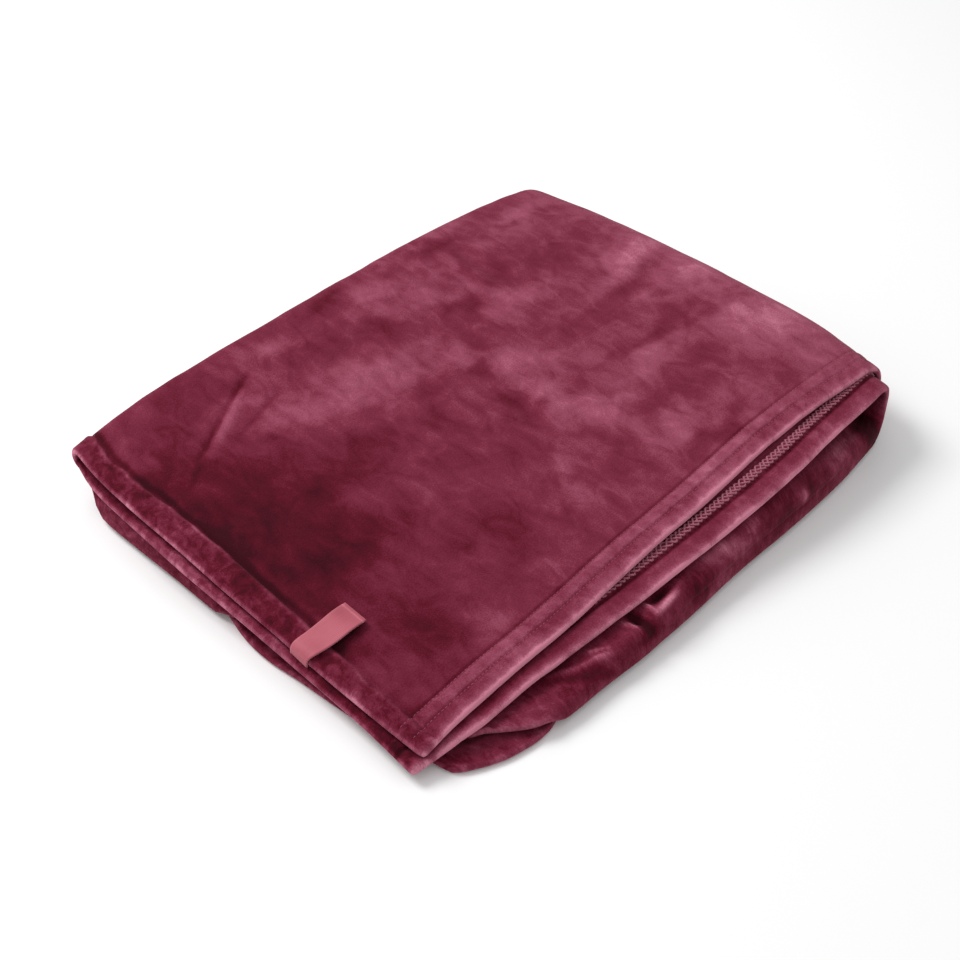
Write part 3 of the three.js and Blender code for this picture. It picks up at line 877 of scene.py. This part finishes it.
# The looper is a loose flat braid of three strands
LOOPER_PITCH = 13.5
LOOPER_THREAD = 0.8
LOOPER_STRANDS = 3
LOOPER_SAMPLES = 24
LOOPER_SWING = 0.44
LOOPER_RISE = 0.5
LOOSE_ALONG = (0.07, 0.45, 26)
LOOSE_ACROSS = (0.16, 0.5, 25)
first_row = int(np.argmax(along["share"][:, 0] > 0.3))
lines = [rail(grid, inner_steps, True, distance)[first_row:last_row]
         for distance in (LOOPER_NEAR, LOOPER_FAR) for grid in (inside, normal)]
phase = np.arange(0, int(running_length(lines[0])[-1] / LOOPER_PITCH), 1 / LOOPER_SAMPLES)
places = LOOPER_PITCH * (phase + layered(phase, 0 * phase, LOOSE_ALONG))
near, up = walk(lines[:2], places)
far, _ = walk(lines[2:], places)
paths = []
for strand in range(LOOPER_STRANDS):
    turn = 2 * math.pi * (phase + strand / LOOPER_STRANDS)
    swing = LOOPER_SWING * (1 + layered(phase, 7.0 * strand, LOOSE_ACROSS))
    spots = lerp(near, far, (0.5 + swing * np.sin(turn))[:, None])
    paths.append(spots - up * (LOOPER_RISE * (1 + np.sin(2 * turn)))[:, None])
loopers = threads("hem_looper", np.stack(paths), np.stack([up] * LOOPER_STRANDS), LOOPER_THREAD, 6)


# Label: one ribbon folded back under itself, its fold at the free end
PLY = 0.5
PLY_GAP = 0.16
TURN_RADIUS = PLY + PLY_GAP / 2
RIBBON_LENGTH = 106
RIBBON_COLUMNS = 17
LABEL_RUNS = 66
LABEL_TURNS = 7
LABEL_PINCH = 4.5
PINCHED = (1.5, 6.5)
FOLD_PRESS = {"depth": 0.22, "at": 2.2, "width": 0.7}
RIBBON_SHADE = table(BAND, [[1.1, 3.4, 0.7], [-0.5, 0.6, 1.6]])
sides = np.linspace(1, -1, RIBBON_COLUMNS)[None, :]


def label_spot(run, side):
    """Middle of the doubled ribbon, and the direction across its thickness and along it."""
    knots = np.arange(len(LABEL["x"]), dtype=float)

    def spot(t):
        x = through(knots, LABEL["x"], t)
        rise = through(knots, LABEL["height"], t) + side * through(knots, LABEL["tilt"], t) / 2
        pinch = LABEL_PINCH * (1 - smooth(t, *PINCHED)) * (1 + side) / 2
        y = LABEL_Y - side * LABEL_WIDTH / 2 + pinch
        base = height(TOP, np.maximum(x, -FOLD_REACH), y)
        return np.stack(np.broadcast_arrays(x, y, base + rise), -1)

    ahead = spot(np.minimum(run + 0.05, knots[-1])) - spot(np.maximum(run - 0.05, 0))
    ahead /= np.linalg.norm(ahead, axis=-1, keepdims=True)
    across = np.stack([-ahead[..., 2], 0 * ahead[..., 1], ahead[..., 0]], -1)
    return spot(run), across, ahead


def label_face(offset):
    """One face of the ribbon over its upper ply, round its fold and back along its lower ply."""
    last_run = LABEL["x"][-1] - LABEL["x"][-2]
    run = np.linspace(0, len(LABEL["x"]) - 1 - TURN_RADIUS / last_run, LABEL_RUNS)[:, None]
    spot, across, ahead = label_spot(run, sides)
    turn = np.linspace(0, math.pi, LABEL_TURNS + 2)[1:-1, None, None]
    end = spot[-1:] + offset * (np.sin(turn) * ahead[-1:] + np.cos(turn) * across[-1:])
    return np.concatenate([spot + offset * across, end, (spot - offset * across)[::-1]])


label_outer, label_inner = label_face(TURN_RADIUS), label_face(PLY_GAP / 2)
label_rows = len(label_outer)
label_flat = np.stack(np.meshgrid(np.linspace(0, RIBBON_LENGTH, label_rows),
                                  np.linspace(0, LABEL_WIDTH, RIBBON_COLUMNS), indexing="ij"), -1)
ribbon_run = running_length(label_outer[:, RIBBON_COLUMNS // 2])
from_fold = np.abs(ribbon_run - ribbon_run[label_rows // 2])[:, None]
upper_ply = (np.arange(label_rows) < label_rows / 2)[:, None]
label_outer[..., 2] -= (FOLD_PRESS["depth"] * upper_ply
                        * groove(from_fold, FOLD_PRESS["at"], FOLD_PRESS["width"]))

# Light along the ribbon's edges and its fold, and a shade on one side before the fold
edge = np.abs(sides) ** 12 * np.ones((label_rows, 1))
light = bands(RIBBON_SHADE, from_fold) + 0.4 * edge - 0.5 * groove(from_fold, 9, 5) * smooth(-sides, -1, 1)
label = build_mesh("label", np.stack([label_outer, label_inner]),
                   grid_faces(label_rows, RIBBON_COLUMNS), np.stack([label_flat] * 2),
                   light=np.stack([light] * 2))


# Materials
def new_material(name):
    """Empty material, and a function that adds nodes to it: inputs are numbers, colours or sockets of
    other nodes."""
    material = bpy.data.materials.new(name)
    material.use_nodes = True
    tree = material.node_tree
    tree.nodes.clear()

    def add(kind, inputs=(), **settings):
        node = tree.nodes.new("ShaderNode" + kind)
        for key, value in settings.items():
            setattr(node, key, value)
        for key, value in dict(inputs).items():
            if isinstance(value, bpy.types.NodeSocket):
                tree.links.new(value, node.inputs[key])
            else:
                node.inputs[key].default_value = value
        return node

    return material, add


def principled(add, bump_inputs, inputs):
    """Principled shader with a bump on the material's output."""
    bump = add("Bump", bump_inputs)
    shader = add("BsdfPrincipled", {**inputs, "Normal": bump.outputs[0]})
    add("OutputMaterial", {"Surface": shader.outputs[0]})


def ramp(add, value, stops):
    """Colour ramp over a value, from (position, colour) stops."""
    node = add("ValToRGB", {0: value})
    elements = node.color_ramp.elements
    while len(elements) < len(stops):
        elements.new(0.5)
    for element, (position, colour) in zip(elements, stops):
        element.position = position
        element.color = (*colour, 1)
    return node.outputs[0]


def maths(add, operation, a, b, c=0.0):
    return add("Math", {0: a, 1: b, 2: c}, operation=operation).outputs[0]


def texture(add, where, size, detail=4.0, rough=0.55, distort=0.0, stretch=(1, 1, 1)):
    """Noise with features of about one size in metres, its mean value 0.5."""
    moved = add("Mapping", {"Vector": where, "Scale": tuple(s / size for s in stretch)})
    node = add("TexNoise", {"Vector": moved.outputs[0], "Scale": 1.0, "Detail": detail,
                            "Roughness": rough, "Distortion": distort})
    return node.outputs[0]


FLEECE_COLOURS = (
    (0.0, (0.036, 0.002, 0.006)),
    (0.25, (0.090, 0.004, 0.014)),
    (0.5, (0.165, 0.020, 0.044)),
    (0.75, (0.290, 0.068, 0.113)),
    (1.0, (0.540, 0.190, 0.270)),
)
RIBBON_COLOURS = (
    (0.15, (0.250, 0.034, 0.052)),
    (0.5, (0.365, 0.062, 0.092)),
    (0.75, (0.455, 0.100, 0.140)),
    (1.0, (0.600, 0.220, 0.270)),
)
NEEDLE_COLOURS = (0.140, 0.020, 0.038), (0.300, 0.072, 0.112)
LOOPER_COLOURS = (0.130, 0.018, 0.036), (0.420, 0.125, 0.180)


def fleece_material():
    material, add = new_material("fleece")
    where = add("UVMap", uv_map="flat").outputs[0]
    shade = add("Attribute", attribute_name="shade").outputs["Fac"]
    fuzz = add("Attribute", attribute_name="fuzz").outputs["Fac"]
    bank = add("Attribute", attribute_name="bank").outputs["Fac"]
    clouds = texture(add, where, 0.055, 6, 0.6, 0.8)
    wisps = texture(add, where, 0.013, 4, 0.62, 0.7, (1, 0.55, 1))
    streaks = texture(add, where, 0.007, 4, 0.6, 1.2, (1, 0.4, 1))
    tufts = texture(add, where, 0.0075, 3, 0.6, 0.6)
    grain = texture(add, where, 0.0011, 2, 0.7)
    tone = maths(add, "MULTIPLY_ADD", shade, 0.36, 0.47)
    for source, amount, where_strong in ((clouds, 0.5, None), (wisps, 0.45, None), (grain, 0.4, None),
                                         (tufts, 0.8, fuzz), (streaks, 0.5, bank)):
        centred = maths(add, "SUBTRACT", source, 0.5)
        if where_strong is not None:
            centred = maths(add, "MULTIPLY", centred, where_strong)
        tone = maths(add, "MULTIPLY_ADD", centred, amount, tone)
    pile = maths(add, "MULTIPLY_ADD", tufts, 1.5, grain)
    principled(add, {"Strength": 0.6, "Distance": 0.0009, "Height": pile}, {
        "Base Color": ramp(add, tone, FLEECE_COLOURS),
        "Roughness": 0.95,
        "Specular IOR Level": 0.1,
        "Sheen Weight": 0.15,
        "Sheen Roughness": 0.3,
        "Sheen Tint": (0.95, 0.42, 0.52, 1),
    })
    return material


def thread_material(name, dark, light):
    material, add = new_material(name)
    where = add("TexCoord").outputs["Object"]
    strands = texture(add, where, 0.0006, 2, 0.6)
    colour = ramp(add, strands, ((0.3, dark), (0.7, light)))
    principled(add, {"Strength": 0.5, "Distance": 0.0002, "Height": strands}, {
        "Base Color": colour, "Roughness": 0.6, "Sheen Weight": 0.3, "Sheen Tint": (0.9, 0.45, 0.55, 1),
    })
    return material


def ribbon_material():
    material, add = new_material("ribbon")
    where = add("UVMap", uv_map="flat").outputs[0]
    light = add("Attribute", attribute_name="light").outputs["Fac"]
    weft = add("TexWave", {"Vector": where, "Scale": 560.0, "Distortion": 0.6, "Detail": 1.0},
               bands_direction="X").outputs["Fac"]
    warp = texture(add, where, 0.0005, 2, 0.6, 0, (0.08, 1, 1))
    tint = texture(add, where, 0.022, 2, 0.5, 0.4)
    tone = maths(add, "MULTIPLY_ADD", light, 0.3, 0.1)
    for source, amount in ((weft, 0.14), (warp, 0.35), (tint, 0.4)):
        tone = maths(add, "MULTIPLY_ADD", source, amount, tone)
    weave = maths(add, "MULTIPLY_ADD", warp, 0.6, weft)
    principled(add, {"Strength": 0.35, "Distance": 0.00012, "Height": weave}, {
        "Base Color": ramp(add, tone, RIBBON_COLOURS), "Roughness": 0.5, "Specular IOR Level": 0.35,
        "Sheen Weight": 0.15,
    })
    return material


blanket.data.materials.append(fleece_material())
stitches.data.materials.append(thread_material("needle_thread", *NEEDLE_COLOURS))
loopers.data.materials.append(thread_material("looper_thread", *LOOPER_COLOURS))
label.data.materials.append(ribbon_material())

for piece in (blanket, stitches, loopers, label):
    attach(piece, "root")
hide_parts("blanket_cloth")
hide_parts("loop_label")

# Camera: the photograph's viewing angle
FOCAL_PIXELS = 1474.8
PICTURE_PIXELS = 960
SENSOR = 36
AZIMUTH, ELEVATION, ROLL = (math.radians(a) for a in (47.4, 41.8, -2.0))
EYE = (np.array([-629.8, -570.4, 728.3]) + ORIGIN) * 0.001
forward = Vector((math.sin(AZIMUTH) * math.cos(ELEVATION),
                  math.cos(AZIMUTH) * math.cos(ELEVATION), -math.sin(ELEVATION)))
right = Vector((math.cos(AZIMUTH), -math.sin(AZIMUTH), 0))
down = forward.cross(right)
right, down = (math.cos(ROLL) * right + math.sin(ROLL) * down,
               math.cos(ROLL) * down - math.sin(ROLL) * right)
camera_data = bpy.data.cameras.new("camera")
camera_data.sensor_width = SENSOR
camera_data.lens = FOCAL_PIXELS / PICTURE_PIXELS * SENSOR
camera = bpy.data.objects.new("camera", camera_data)
camera.matrix_world = Matrix.Translation(EYE) @ Matrix((right, -down, -forward)).transposed().to_4x4()
bpy.context.scene.collection.objects.link(camera)
bpy.context.scene.camera = camera


# Floor, just under the cloth, and light
FLOOR_HALF = 6
FLOOR_Z = -0.0004
floor_mesh = bpy.data.meshes.new("floor")
floor_mesh.from_pydata([(FLOOR_HALF * x, FLOOR_HALF * y, FLOOR_Z)
                        for x, y in ((-1, -1), (1, -1), (1, 1), (-1, 1))], [], [(0, 1, 2, 3)])
floor = bpy.data.objects.new("floor", floor_mesh)
bpy.context.scene.collection.objects.link(floor)
floor_paint, add = new_material("floor")
add("OutputMaterial", {"Surface": add("BsdfDiffuse", {"Color": (0.86, 0.86, 0.86, 1)}).outputs[0]})
floor_mesh.materials.append(floor_paint)

world = bpy.data.worlds.new("world")
world.use_nodes = True
world.node_tree.nodes["Background"].inputs["Color"].default_value = (1, 1, 1, 1)
world.node_tree.nodes["Background"].inputs["Strength"].default_value = 0.75
bpy.context.scene.world = world

lamp_data = bpy.data.lights.new("key", "AREA")
lamp_data.shape = "SQUARE"
lamp_data.size = 1.0
lamp_data.energy = 40
lamp = bpy.data.objects.new("key", lamp_data)
lamp.location = (-0.6, 1.4, 1.8)
lamp_aim = Vector((0, 0, 0.03))
lamp.rotation_euler = (lamp_aim - lamp.location).to_track_quat("-Z", "Y").to_euler()
bpy.context.scene.collection.objects.link(lamp)
bpy.context.scene.view_settings.view_transform = "Standard"
